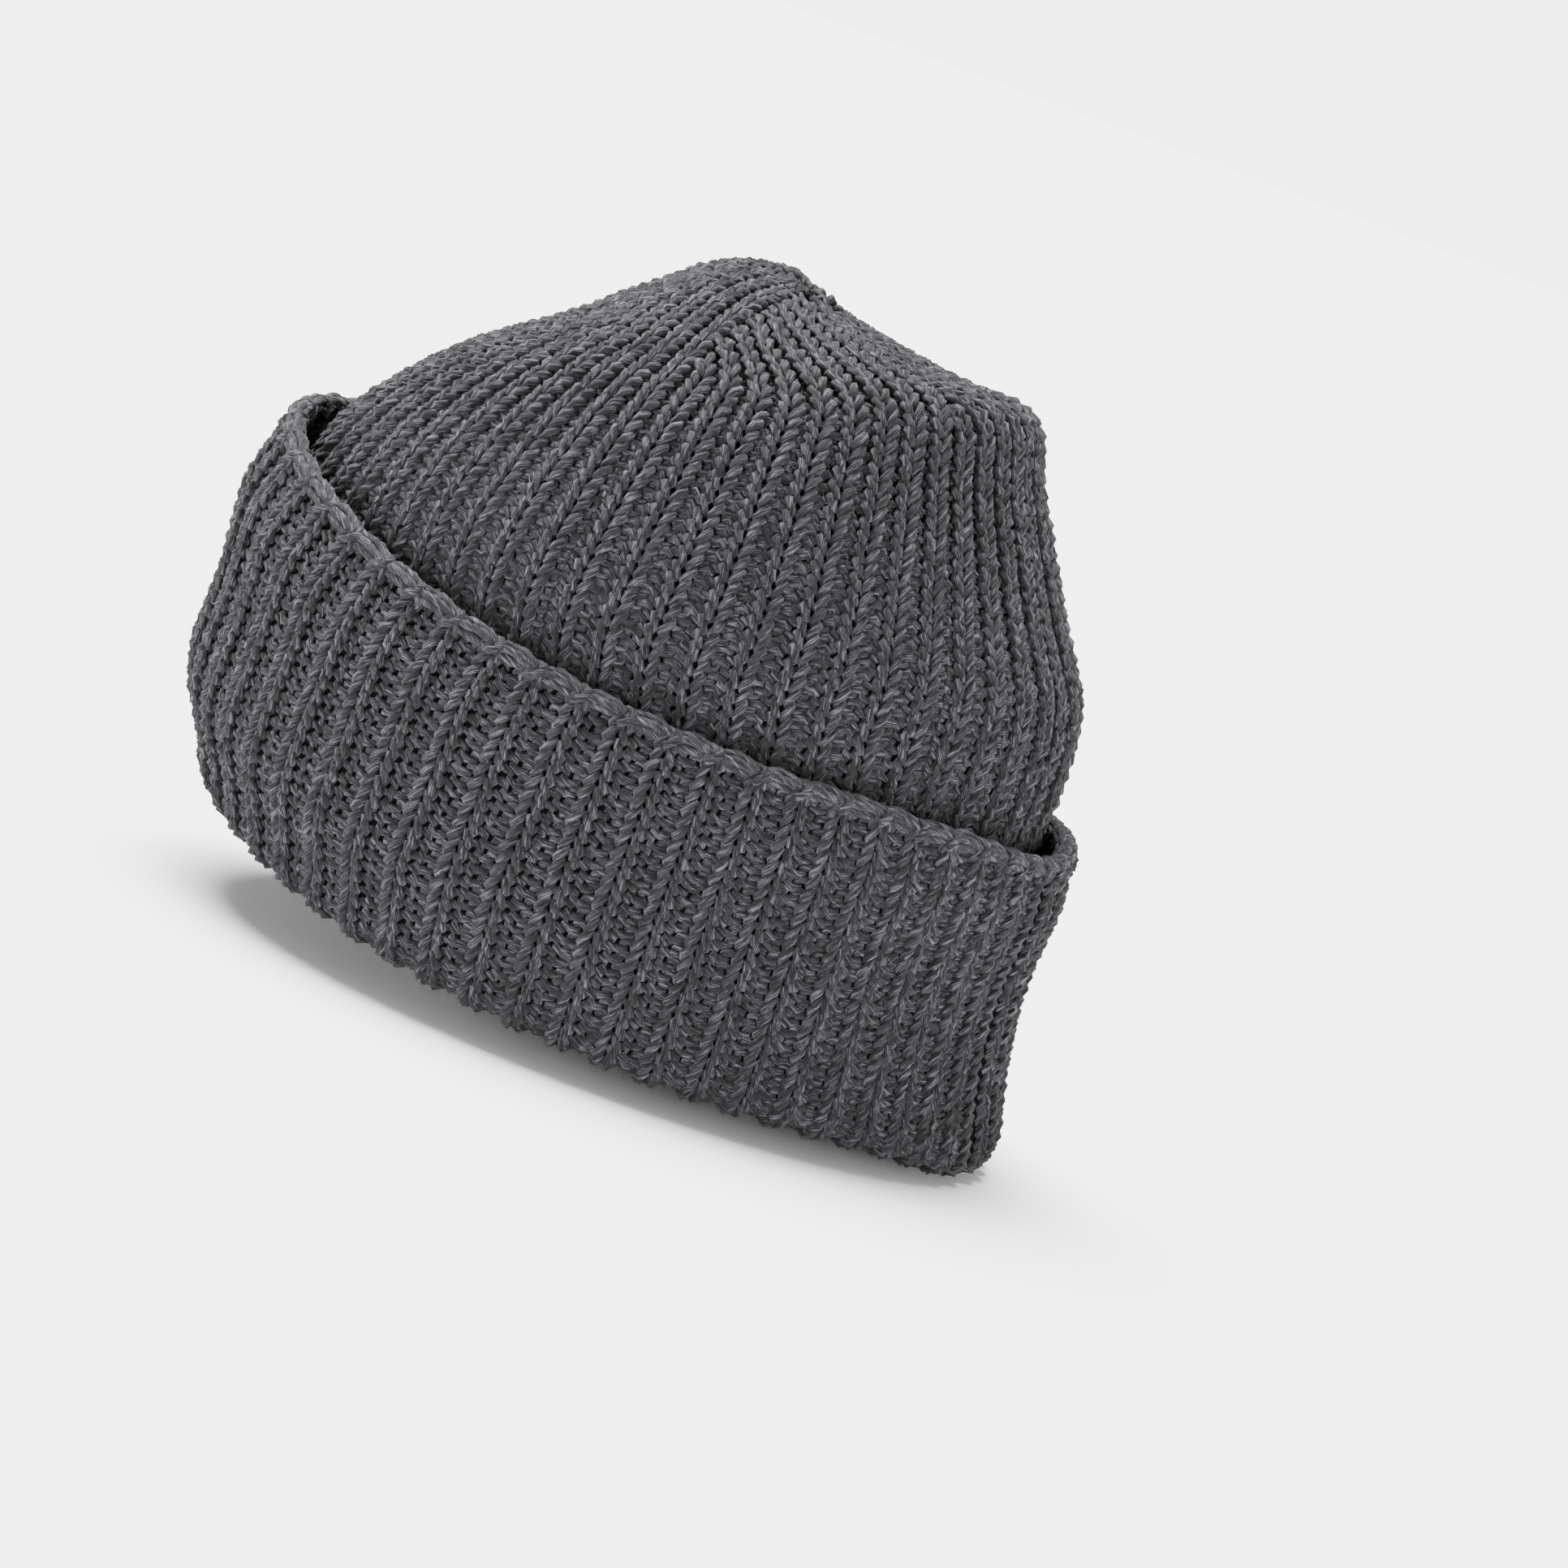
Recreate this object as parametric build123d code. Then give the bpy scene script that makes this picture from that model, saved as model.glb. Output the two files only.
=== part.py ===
from build123d import *

import os
from math import cos, pi, radians, sin

# Rib-knit beanie, worn shape.  +Z is up, -Y is the forehead, +X is the wearer's left.
# The origin is at the middle of the head opening, on the surface that the brim rests on.
# All sizes are in millimetres and all angles round the head in degrees, 0 at +X and 90 at the nape.

FABRIC = 4.0            # thickness of the relaxed one-by-one rib
LAYER_GAP = 1.5         # space between the cuff and the body layer at the fold
FOLD_RADIUS = FABRIC + LAYER_GAP / 2
JOIN_GAP = 0.3          # clearance between the fold's lip and the body layer that stands on it
NAPE = 90.0             # direction of the centre back seam
SEAM_OPENING = 0.4      # width left between two edges that a seam joins
CONTACT_GAP = 0.25      # air between two pieces that lie on each other
SURFACE_FIT = 0.08      # how closely a surface follows its grid of points

CUFF_HEIGHT = 73.0      # from the fold to the free edge, at the nape
BROW_LIFT = 21.5        # how much higher the fold lies over the forehead
LIFT_POWER = 3.2        # how tightly that lift keeps to the forehead
BROW_RISE = 9.0         # further rise of the free edge over the forehead
RISE_POWER = 2.0
NAPE_DIP = 3.7          # how far the cuff sags at the back seam
DIP_POWER = 20
FOLD_LIP = 6.0          # height of the inner lip that carries on from the fold
LEAN = 0.13             # forward lean of the body layer, run over rise

# Outer face of the cuff from the fold to the free edge:
# (share of the height, forehead y, nape y, half width)
CUFF_RINGS = [
    (0.00, -111.5, 95.6, 85.5),
    (0.25, -120.5, 91.0, 90.5),
    (0.55, -121.0, 88.4, 90.0),
    (0.82, -122.5, 89.8, 88.5),
    (1.00, -118.0, 88.4, 84.5),
]

# Outer face of the body layer where it stands inside the cuff, a leaning oval tube.
TUBE_HALF_LENGTH = 93.6
TUBE_HALF_WIDTH = 79.6
TUBE_CENTRE_Y = -5.8
TUBE_SHARE = 0.7        # share of the hidden height over which the tube keeps its section

# Outer face of the hat above the cuff, up to the apex:
# (forehead y, nape y, half width, forehead z, side z, nape z)
CROWN_RINGS = [
    (-108.2, 80.0, 77.0, 107.2, 78.0, 72.6),
    (-99.4, 79.0, 77.6, 119.2, 100.5, 103.2),
    (-83.7, 65.0, 71.1, 134.7, 122.0, 127.1),
    (-64.6, 52.1, 61.0, 148.3, 141.8, 148.6),
    (-47.9, 44.0, 46.6, 162.2, 156.7, 165.2),
    (-35.5, 23.4, 28.3, 171.9, 166.2, 166.0),
    (-24.0, 1.8, 10.7, 175.3, 170.8, 169.0),
    (-16.7, -7.0, 5.0, 175.5, 173.0, 170.3),
]
DART_START = 3.5        # ring number at which the darts begin
APEX = (0.0, -11.8, 171.0)   # middle of the closing stitch
APEX_TILT = -25.0       # its lean towards the nape, in degrees about X
CLOSING_RADIUS = 4.1
CLOSING_HEIGHT = 3.0
CLOSING_EDGE = 1.2

GORE_START = 0.02       # part of a ring left between the body layer and the gores
GORE_EDGES = {          # the two darts that bound each gore
    "back": (60.0, 120.0),
    "back_right": (120.0, 180.0),
    "front_right": (180.0, 240.0),
    "front": (240.0, 300.0),
    "front_left": (300.0, 360.0),
    "back_left": (0.0, 60.0),
}
DARTS = {
    "left": 0.0,
    "back_left": 60.0,
    "back_right": 120.0,
    "right": 180.0,
    "front_right": 240.0,
    "front_left": 300.0,
}

EDGE_HEIGHT = 4.0       # rolled cast-on edge
EDGE_CROWN = 1.4
SEAM_WIDTH = 4.5        # seam allowance pressed to both sides
SEAM_DEPTH = 1.0
DART_WIDTH = 3.6
DART_DEPTH = 1.6
LABEL_WIDTH = 22.0
LABEL_HEIGHT = 34.0
LABEL_THICKNESS = 0.5
LABEL_Z = 26.0          # bottom edge of the label
LABEL_ANGLE = 80.0      # beside the back seam
LABEL_CLEARANCE = 0.3
STITCH_LENGTH = 2.0     # bar of thread along the label's top edge
STITCH_THICKNESS = 0.7
STITCH_COUNT = 7

COLUMNS = 73            # grid lines round the head


def mix(a, b, t):
    return a + (b - a) * t


def smooth_rings(rings, k):
    """Values of a list of rings at ring number k, on a curve through the rings."""
    last = len(rings) - 1
    i = min(max(int(k), 0), last - 1)
    t = k - i
    before = rings[max(i - 1, 0)]
    after = rings[min(i + 2, last)]
    start, end = rings[i], rings[i + 1]
    out = []
    for p0, p1, p2, p3 in zip(before, start, end, after):
        m1 = (p2 - p0) / 2
        m2 = (p3 - p1) / 2
        rise = (1 + 2 * t) * (1 - t) ** 2 * p1 + t * t * (3 - 2 * t) * p2
        out.append(rise + t * (1 - t) ** 2 * m1 - t * t * (1 - t) * m2)
    return out


def brow(angle, power):
    """Share of the forehead lift at an angle: 1 at the forehead, 0 at the nape."""
    return ((1 - sin(radians(angle))) / 2) ** power


def fold_z(angle):
    sag = max(0.0, sin(radians(angle))) ** DIP_POWER
    return BROW_LIFT * brow(angle, LIFT_POWER) + NAPE_DIP * (1 - sag)


def oval(angle, front, back, half_width, z):
    middle = (front + back) / 2
    half_length = (back - front) / 2
    a = radians(angle)
    return (half_width * cos(a), middle + half_length * sin(a), z)


def cuff_point(angle, share, inset):
    """Point on the cuff's outer wall, moved inwards by inset; share is 0 at the top of the fold."""
    shares = [ring[0] for ring in CUFF_RINGS]
    i = max(j for j in range(len(shares) - 1) if shares[j] <= share + 1e-9)
    k = i + (share - shares[i]) / (shares[i + 1] - shares[i])
    _, front, back, width = smooth_rings(CUFF_RINGS, k)
    rise = BROW_RISE * brow(angle, RISE_POWER) * share ** 2
    z = mix(FOLD_RADIUS, CUFF_HEIGHT, share) + fold_z(angle) + rise
    return oval(angle, front + inset, back - inset, width - inset, z)


def tube_point(angle, z, inset):
    """Point on the leaning body layer inside the cuff."""
    middle = TUBE_CENTRE_Y - LEAN * z
    reach = TUBE_HALF_LENGTH - inset
    return oval(angle, middle - reach, middle + reach, TUBE_HALF_WIDTH - inset, z)


def crown_point(angle, k, inset):
    """Point on the hat above the cuff at ring number k, moved inwards by inset along the wall."""
    def outer(at_angle, at_k):
        front, back, width, z_front, z_side, z_back = smooth_rings(CROWN_RINGS, at_k)
        s = sin(radians(at_angle))
        z = z_side + ((z_front + z_back) / 2 - z_side) * s * s + (z_back - z_front) / 2 * s
        return Vector(*oval(at_angle, front, back, width, z))

    along = outer(angle + 1, k) - outer(angle - 1, k)
    top = len(CROWN_RINGS) - 1
    up = outer(angle, min(k + 0.05, top)) - outer(angle, max(k - 0.05, 0))
    inwards = up.cross(along).normalized()
    return outer(angle, k) + inwards * inset


def body_point(angle, v, inset):
    """Body layer from the fold lip (v = 0) through the cuff's free edge (v = 1) to the darts (v = 2)."""
    if v >= 1:
        return crown_point(angle, (v - 1) * DART_START, inset)
    base = fold_z(angle) + FOLD_LIP + JOIN_GAP
    top = crown_point(angle, 0, inset)
    low = tube_point(angle, mix(base, top.Z, v), inset)
    ease = max(0.0, (v - TUBE_SHARE) / (1 - TUBE_SHARE)) ** 2
    return Vector(mix(low[0], top.X, ease), mix(low[1], top.Y, ease), low[2])


def panel(outer_rows, inner_rows):
    """Closed solid between two grids of points that face each other across the fabric."""
    outer = Face.make_surface_from_array_of_points(outer_rows, tol=SURFACE_FIT)
    inner = Face.make_surface_from_array_of_points(inner_rows, tol=SURFACE_FIT)
    sides = []
    inner_edges = list(inner.edges())
    for edge in outer.edges():
        middle = edge @ 0.5
        ends = (edge @ 0, edge @ 1)
        partner = min(inner_edges, key=lambda e: edge_distance(e, middle, ends))
        inner_edges.remove(partner)
        sides.append(Face.make_surface_from_curves(edge, partner))
    solid = Solid(Shell([outer, inner, *sides]))
    return solid if solid.volume > 0 else Solid(solid.wrapped.Reversed())


def edge_distance(edge, middle, ends):
    far = ((edge @ 0.5) - middle).length
    same = ((edge @ 0) - ends[0]).length + ((edge @ 1) - ends[1]).length
    turned = ((edge @ 1) - ends[0]).length + ((edge @ 0) - ends[1]).length
    return far + min(same, turned)


def steps(start, end, count):
    return [mix(start, end, i / (count - 1)) for i in range(count)]


def around(start, end, count=COLUMNS):
    """Angles from one edge to the next."""
    return steps(start, end, count)


def seam_edge(point, side):
    """Move a point on the nape line to one side of the back seam."""
    x, y, z = point
    return (side * SEAM_OPENING / 2, y, z)


def closed_round(point_at):
    """Rows of points round the head from one side of the back seam to the other."""
    rows = []
    angles = around(NAPE, NAPE + 360)
    for i, angle in enumerate(angles):
        row = [tuple(p) for p in point_at(angle)]
        if i == 0:
            row = [seam_edge(p, -1) for p in row]
        if i == len(angles) - 1:
            row = [seam_edge(p, 1) for p in row]
        rows.append(row)
    return rows


def fold_point(angle, z, inset):
    _, front, back, width = CUFF_RINGS[0]
    return oval(angle, front + inset, back - inset, width - inset, z)


def cuff_profile(angle, inset):
    """Cuff layer from the inner lip, round the fold and up to the free edge."""
    base = fold_z(angle)
    points = []
    for height in steps(FOLD_LIP, FOLD_RADIUS, 3):
        points.append(fold_point(angle, base + height, 2 * FOLD_RADIUS - inset))
    for turn in steps(0, 180, 9)[1:-1]:
        reach = FOLD_RADIUS - inset
        z = base + FOLD_RADIUS - sin(radians(turn)) * reach
        points.append(fold_point(angle, z, FOLD_RADIUS + cos(radians(turn)) * reach))
    for share in steps(0, 1, 16):
        points.append(cuff_point(angle, share, inset))
    return points


def cuff_turn_up():
    return panel(
        closed_round(lambda a: cuff_profile(a, 0.0)),
        closed_round(lambda a: cuff_profile(a, FABRIC)),
    )


def cast_on_edge():
    """Rolled first course that sits on the cuff's free edge."""
    def top_row(angle):
        points = []
        for t in steps(0, 1, 7):
            x, y, z = cuff_point(angle, 1, t * FABRIC)
            points.append((x, y, z + EDGE_HEIGHT - EDGE_CROWN + EDGE_CROWN * sin(pi * t)))
        return points

    def bottom_row(angle):
        points = []
        for t in steps(0, 1, 7):
            x, y, z = cuff_point(angle, 1, t * FABRIC)
            points.append((x, y, z + CONTACT_GAP))
        return points

    return panel(closed_round(top_row), closed_round(bottom_row))


def strip(point_at, inset, depth, width, levels):
    """Narrow band of fabric on the inside of a wall; point_at takes a sideways shift."""
    def face(at_inset):
        return [[tuple(point_at(side, v, at_inset)) for v in levels] for side in steps(-width / 2, width / 2, 3)]

    return panel(face(inset + CONTACT_GAP), face(inset + CONTACT_GAP + depth))


def turned(angle, shift, radius):
    """Angle after a sideways shift in millimetres at a radius."""
    return angle + shift / radius * 180 / pi


def cuff_back_seam():
    def point_at(shift, share, inset):
        return cuff_point(turned(NAPE, shift, TUBE_HALF_WIDTH), share, inset)

    return strip(point_at, FABRIC, SEAM_DEPTH, SEAM_WIDTH, steps(0.02, 1, 12))


def body_back_seam():
    def point_at(shift, v, inset):
        radius = TUBE_HALF_WIDTH if v < 1 else mix(TUBE_HALF_WIDTH, 50, v - 1)
        return body_point(turned(NAPE, shift, radius), v, inset)

    return strip(point_at, FABRIC, SEAM_DEPTH, SEAM_WIDTH, steps(0, 2, 24))


def body_tube():
    levels = steps(0, 1, 12) + steps(1, 2, 14)[1:]
    return panel(
        closed_round(lambda a: [body_point(a, v, 0.0) for v in levels]),
        closed_round(lambda a: [body_point(a, v, FABRIC) for v in levels]),
    )


def ring_radius(k):
    front, back, width = smooth_rings(CROWN_RINGS, k)[:3]
    return (width + (back - front) / 2) / 2


def crown_gore(start, end):
    """Pointed tongue of the crown between two darts."""
    levels = steps(DART_START + GORE_START, len(CROWN_RINGS) - 1, 16)

    def face(inset):
        rows = []
        for t in steps(0, 1, 15):
            row = []
            for k in levels:
                room = SEAM_OPENING / 2 / ring_radius(k) * 180 / pi
                row.append(tuple(crown_point(mix(start + room, end - room, t), k, inset)))
            rows.append(row)
        return rows

    return panel(face(0.0), face(FABRIC))


def dart_seam(angle):
    """Ridge of the two linked edges on the inside of a dart."""
    def point_at(shift, k, inset):
        return crown_point(turned(angle, shift, ring_radius(k)), k, inset)

    levels = steps(DART_START, len(CROWN_RINGS) - 1, 16)
    return strip(point_at, FABRIC, DART_DEPTH, DART_WIDTH, levels)


def crown_closing_stitch():
    drum = Cylinder(CLOSING_RADIUS, CLOSING_HEIGHT)
    drum = fillet(drum.edges().sort_by(Axis.Z)[-1], CLOSING_EDGE)
    return Location(APEX, (APEX_TILT, 0, 0)) * drum


def label_point(x, z, inset):
    """Point on the body layer's inner face beside the back seam; x runs along the wall."""
    angle = turned(LABEL_ANGLE, x, TUBE_HALF_WIDTH)
    return tube_point(angle, z, FABRIC + inset)


def care_label():
    def face(inset):
        rows = []
        for x in steps(-LABEL_WIDTH, 0, 7):
            rows.append([label_point(x, z, inset) for z in steps(LABEL_Z, LABEL_Z + LABEL_HEIGHT, 6)])
        return rows

    return panel(face(LABEL_CLEARANCE), face(LABEL_CLEARANCE + LABEL_THICKNESS))


def label_stitches():
    """Short bars of thread that hold the label's top edge."""
    inset = LABEL_CLEARANCE + LABEL_THICKNESS + CONTACT_GAP + STITCH_THICKNESS / 2
    bars = []
    for x in steps(-LABEL_WIDTH + STITCH_LENGTH, -STITCH_LENGTH, STITCH_COUNT):
        place = Vector(*label_point(x, LABEL_Z + LABEL_HEIGHT - STITCH_LENGTH, inset))
        ahead = Vector(*label_point(x + 1, LABEL_Z + LABEL_HEIGHT - STITCH_LENGTH, inset))
        plane = Plane(origin=place, x_dir=ahead - place, z_dir=(0, 0, 1))
        bars.append(plane * Box(STITCH_LENGTH, STITCH_THICKNESS, STITCH_THICKNESS))
    return Compound(children=bars)


def write(name, shape):
    shape.label = name
    export_step(shape, f"parts/{name}.step")


def main():
    os.makedirs("parts", exist_ok=True)
    write("cuff_turn_up", cuff_turn_up())
    write("cast_on_edge", cast_on_edge())
    write("cuff_back_seam", cuff_back_seam())
    write("body_tube", body_tube())
    write("body_back_seam", body_back_seam())
    for name, (start, end) in GORE_EDGES.items():
        write(f"crown_gore_{name}", crown_gore(start, end))
    for name, angle in DARTS.items():
        write(f"dart_seam_{name}", dart_seam(angle))
    write("crown_closing_stitch", crown_closing_stitch())
    write("care_label", care_label())
    write("label_stitches", label_stitches())


main()
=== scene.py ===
import math

import bpy
import numpy as np
from mathutils import Matrix, Vector
from mathutils.bvhtree import BVHTree


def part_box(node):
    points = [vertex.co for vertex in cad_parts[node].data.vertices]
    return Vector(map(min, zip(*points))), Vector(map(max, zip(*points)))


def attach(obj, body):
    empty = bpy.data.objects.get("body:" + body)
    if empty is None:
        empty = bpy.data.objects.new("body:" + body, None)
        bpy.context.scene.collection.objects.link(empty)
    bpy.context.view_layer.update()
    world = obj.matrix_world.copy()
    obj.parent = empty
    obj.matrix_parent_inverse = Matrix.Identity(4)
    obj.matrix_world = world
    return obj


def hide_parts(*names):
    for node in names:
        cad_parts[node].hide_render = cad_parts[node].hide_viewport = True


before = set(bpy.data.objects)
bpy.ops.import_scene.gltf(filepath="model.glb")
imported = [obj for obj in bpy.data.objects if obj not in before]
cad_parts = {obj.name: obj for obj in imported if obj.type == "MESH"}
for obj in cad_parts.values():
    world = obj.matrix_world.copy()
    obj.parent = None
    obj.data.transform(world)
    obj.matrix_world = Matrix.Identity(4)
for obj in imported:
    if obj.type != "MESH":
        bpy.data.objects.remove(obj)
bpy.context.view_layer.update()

bl_info = {
    "name": "Rib-knit beanie",
    "version": (1, 0, 0),
    "blender": (4, 5, 0),
    "location": "3D View > Sidebar > Beanie",
    "description": "Knits a beanie's cuff, body and crown from single yarn loops over its packed frame",
    "category": "Object",
}

MM = 0.001
RIBS = 54               # ribs round the hat
WALES = 2 * RIBS        # columns of stitches: a raised and a sunk one for each rib
ROWS = 3                # grid rows in each course
GORES = ("back_left", "back", "back_right", "front_right", "front", "front_left")
GORE_RIBS = RIBS // len(GORES)
SEAM_RIB = 13.5         # the centre back seam, counted in ribs from the wearer's left
ROUND = 270             # grid lines round the head
LINE_OFFSET = 0.37      # part of a grid line by which the rays keep off the seams
RAY_START = 0.25        # distance in metres from which the rays are sent inwards
HEAD_ASPECT = 0.885     # breadth of the head over its length
DOME_LEVEL = 0.092      # height in metres above which the rays fan out over the crown
FOLD_RADIUS = 4.75 * MM     # outer radius of the fold
FOLD_COURSES = 5        # courses that run round the fold
CUFF_SECTORS = ("right", "front", "left")
PLY_TURN = 15.0 * MM    # length of yarn in which the plies wind round once
SEAM_STEP = 0.45        # millimetres between points along a seam
SEAM_STITCH = 3.4       # millimetres of seam for each linked stitch
SHEET_LINES = RIBS * 6  # lines round a sheet of fabric, which carries painted shade
VIEW_WIDTH = 0.357778   # metres across the frame at the hat
VIEW_RIGHT = 0.0400185  # metres by which the camera stands right of the head opening
VIEW_UP = 0.0546296     # metres by which the camera stands above the head opening


# ---------------------------------------------------------------- settings

class BEANIE_PG_knit(bpy.types.PropertyGroup):
    """Sizes of the yarn and of the stitches"""
    yarn: bpy.props.FloatProperty(
        name="Yarn thickness", description="Diameter of the relaxed yarn",
        default=2.15 * MM, min=0.5 * MM, max=5 * MM, unit="LENGTH", subtype="DISTANCE")
    course: bpy.props.FloatProperty(
        name="Course height", description="Height of one row of stitches on the body",
        default=3.2 * MM, min=1 * MM, max=8 * MM, unit="LENGTH", subtype="DISTANCE")
    cuff_courses: bpy.props.IntProperty(
        name="Cuff courses", description="Rows of stitches from the free edge to the inner lip of the fold",
        default=29, min=8, max=60)
    rib_width: bpy.props.FloatProperty(
        name="Rib width", description="Width of one raised column of stitches",
        default=5.5 * MM, min=2 * MM, max=12 * MM, unit="LENGTH", subtype="DISTANCE")
    loop_height: bpy.props.FloatProperty(
        name="Loop height", description="Height of one loop, counted in courses",
        default=1.75, min=1, max=2.4)
    sides: bpy.props.IntProperty(
        name="Yarn sides", description="Faces round the yarn", default=6, min=4, max=8)
    samples: bpy.props.IntProperty(
        name="Points per stitch", description="Rings of points along the yarn for each stitch",
        default=12, min=8, max=20)


class BEANIE_PG_colour(bpy.types.PropertyGroup):
    """Colours of the yarn and of the stage"""
    yarn_dark: bpy.props.StringProperty(
        name="Dark fibres", description="sRGB colour of the darkest fibres of the melange", default="#0f0f10")
    yarn_mid: bpy.props.StringProperty(
        name="Main fibres", description="sRGB colour of most fibres", default="#29292b")
    yarn_light: bpy.props.StringProperty(
        name="Light fibres", description="sRGB colour of the palest fibres", default="#66666a")
    # Painted shade: the yarn seen between the loops is the same wool, drawn far darker to stand for the shade
    # that falls there.
    core: bpy.props.StringProperty(
        name="Depth of the fabric", description="sRGB colour seen between the loops", default="#0b0b0c")
    label: bpy.props.StringProperty(
        name="Label tape", description="sRGB colour of the blank label", default="#a5a29b")
    thread: bpy.props.StringProperty(
        name="Label thread", description="sRGB colour of the thread round the label", default="#8f8d86")
    floor: bpy.props.StringProperty(
        name="Floor", description="sRGB colour of the floor", default="#f4f4f4")


class BEANIE_PG_stage(bpy.types.PropertyGroup):
    """Camera and light"""
    distance: bpy.props.FloatProperty(
        name="Camera distance", description="From the middle of the head opening to the camera",
        default=1.6, min=0.5, max=6, unit="LENGTH", subtype="DISTANCE")
    turn: bpy.props.FloatProperty(
        name="Camera turn", description="How far the camera stands behind the wearer's left side",
        default=math.radians(20.8), subtype="ANGLE", unit="ROTATION")
    tilt: bpy.props.FloatProperty(
        name="Hat tilt", description="How far the hat is tipped towards the nape",
        default=math.radians(21.9), subtype="ANGLE", unit="ROTATION")
    light: bpy.props.FloatProperty(
        name="Key light", description="Strength of the wide soft light above", default=18.0, min=0)
    fill: bpy.props.FloatProperty(
        name="Fill light", description="Brightness of the surroundings", default=0.3, min=0)


# ---------------------------------------------------------------- colour and nodes

def linear(hex_colour):
    """An sRGB hex colour as linear RGBA."""
    channels = [int(hex_colour.lstrip("#")[i:i + 2], 16) / 255 for i in (0, 2, 4)]
    return tuple(c / 12.92 if c <= 0.04045 else ((c + 0.055) / 1.055) ** 2.4 for c in channels) + (1.0,)


def node(material, kind, settings=None, inputs=None, links=None):
    """Add a node; settings are its properties, inputs are values, links are sockets that feed it."""
    new = material.node_tree.nodes.new(kind)
    for key, value in (settings or {}).items():
        setattr(new, key, value)
    for key, value in (inputs or {}).items():
        new.inputs[key].default_value = value
    for key, socket in (links or {}).items():
        material.node_tree.links.new(socket, new.inputs[key])
    return new


def blank_material(name):
    material = bpy.data.materials.new(name)
    material.use_nodes = True
    material.node_tree.nodes.clear()
    return material


def finish_material(material, shader):
    node(material, "ShaderNodeOutputMaterial", links={"Surface": shader.outputs[0]})
    return material


def ramp(material, factor, stops):
    """A colour ramp with the given (position, colour) stops."""
    new = node(material, "ShaderNodeValToRGB", links={"Fac": factor})
    elements = new.color_ramp.elements
    while len(elements) < len(stops):
        elements.new(0.5)
    for element, (position, colour) in zip(elements, stops):
        element.position = position
        element.color = colour
    return new.outputs["Color"]


def wool_yarn():
    """Brushed melange yarn: dull fibres of several greys that run along the plies, with paler tufts."""
    colours = bpy.context.scene.beanie_colour
    dark, mid, light = [linear(c) for c in (colours.yarn_dark, colours.yarn_mid, colours.yarn_light)]
    material = blank_material("melange_wool_yarn")
    uv = node(material, "ShaderNodeUVMap", {"uv_map": "yarn"}).outputs["UV"]
    # The map holds millimetres along the strand and round it, and winds with the plies.
    # Fibres are about 0.15 mm wide and 3 mm long.
    fine = node(material, "ShaderNodeMapping", inputs={"Scale": (0.38, 4.6, 1.0)}, links={"Vector": uv})
    fibres = node(material, "ShaderNodeTexNoise", {"noise_dimensions": "3D"},
                  {"Scale": 1.0, "Detail": 3.0, "Roughness": 0.6, "Distortion": 0.35},
                  {"Vector": fine.outputs[0]})
    coarse = node(material, "ShaderNodeMapping", inputs={"Scale": (0.22, 0.9, 1.0)}, links={"Vector": uv})
    tufts = node(material, "ShaderNodeTexNoise", {"noise_dimensions": "3D"},
                 {"Scale": 1.0, "Detail": 2.0, "Roughness": 0.5}, {"Vector": coarse.outputs[0]})
    blend = node(material, "ShaderNodeMath", {"operation": "MULTIPLY_ADD"}, {1: 0.55},
                 {0: tufts.outputs["Fac"], 2: fibres.outputs["Fac"]})
    colour = ramp(material, blend.outputs[0],
                  [(0.62, dark), (0.74, mid), (0.82, mid), (0.93, light)])
    bump = node(material, "ShaderNodeBump", inputs={"Strength": 1.0, "Distance": 0.45 * MM},
                links={"Height": fibres.outputs["Fac"]})
    shader = node(material, "ShaderNodeBsdfPrincipled",
                  inputs={"Roughness": 0.95, "Specular IOR Level": 0.08, "Sheen Weight": 0.08,
                          "Sheen Roughness": 0.6, "Sheen Tint": (0.8, 0.8, 0.82, 1.0)},
                  links={"Base Color": colour, "Normal": bump.outputs[0]})
    return finish_material(material, shader)


def darker(colour, share):
    return tuple(v * share for v in colour[:3]) + (1.0,)


def gap_shade_material():
    """Inside of the knitted layer, where little light reaches: painted shade, wool drawn far darker than the
    yarn, with a coarse fibre grain.
    """
    colour = linear(bpy.context.scene.beanie_colour.core)
    material = blank_material("painted_shade_between_loops")
    place = node(material, "ShaderNodeTexCoord").outputs["Object"]
    grain = node(material, "ShaderNodeTexNoise", inputs={"Scale": 900.0, "Detail": 3.0},
                 links={"Vector": place})
    # Painted shade, darkened to half again where the grain is low.
    tone = ramp(material, grain.outputs["Fac"], [(0.35, darker(colour, 0.5)), (0.7, colour)])
    bump = node(material, "ShaderNodeBump", inputs={"Strength": 0.6, "Distance": 0.4 * MM},
                links={"Height": grain.outputs["Fac"]})
    shader = node(material, "ShaderNodeBsdfPrincipled",
                  inputs={"Roughness": 1.0, "Specular IOR Level": 0.05},
                  links={"Base Color": tone, "Normal": bump.outputs[0]})
    return finish_material(material, shader)


# ---------------------------------------------------------------- surfaces read from the frame

class Tree:
    """Ray casts on a group of frame nodes."""

    def __init__(self, names):
        points, faces, self.owner = [], [], []
        for name in names:
            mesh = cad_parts[name].data
            mesh.calc_loop_triangles()
            start = len(points)
            points += [v.co.copy() for v in mesh.vertices]
            faces += [[start + i for i in t.vertices] for t in mesh.loop_triangles]
            self.owner += [name] * len(mesh.loop_triangles)
        self.tree = BVHTree.FromPolygons(points, faces)

    def hit(self, origin, direction, reach):
        place, _, index, _ = self.tree.ray_cast(origin, direction, reach)
        return (place, self.owner[index]) if place is not None else (None, None)


def plan_direction(turn):
    """Horizontal direction of a meridian, for a turn counted as a share of the way round from the left."""
    a = 2 * math.pi * turn
    return Vector((HEAD_ASPECT * math.cos(a), math.sin(a), 0)).normalized()


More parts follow.
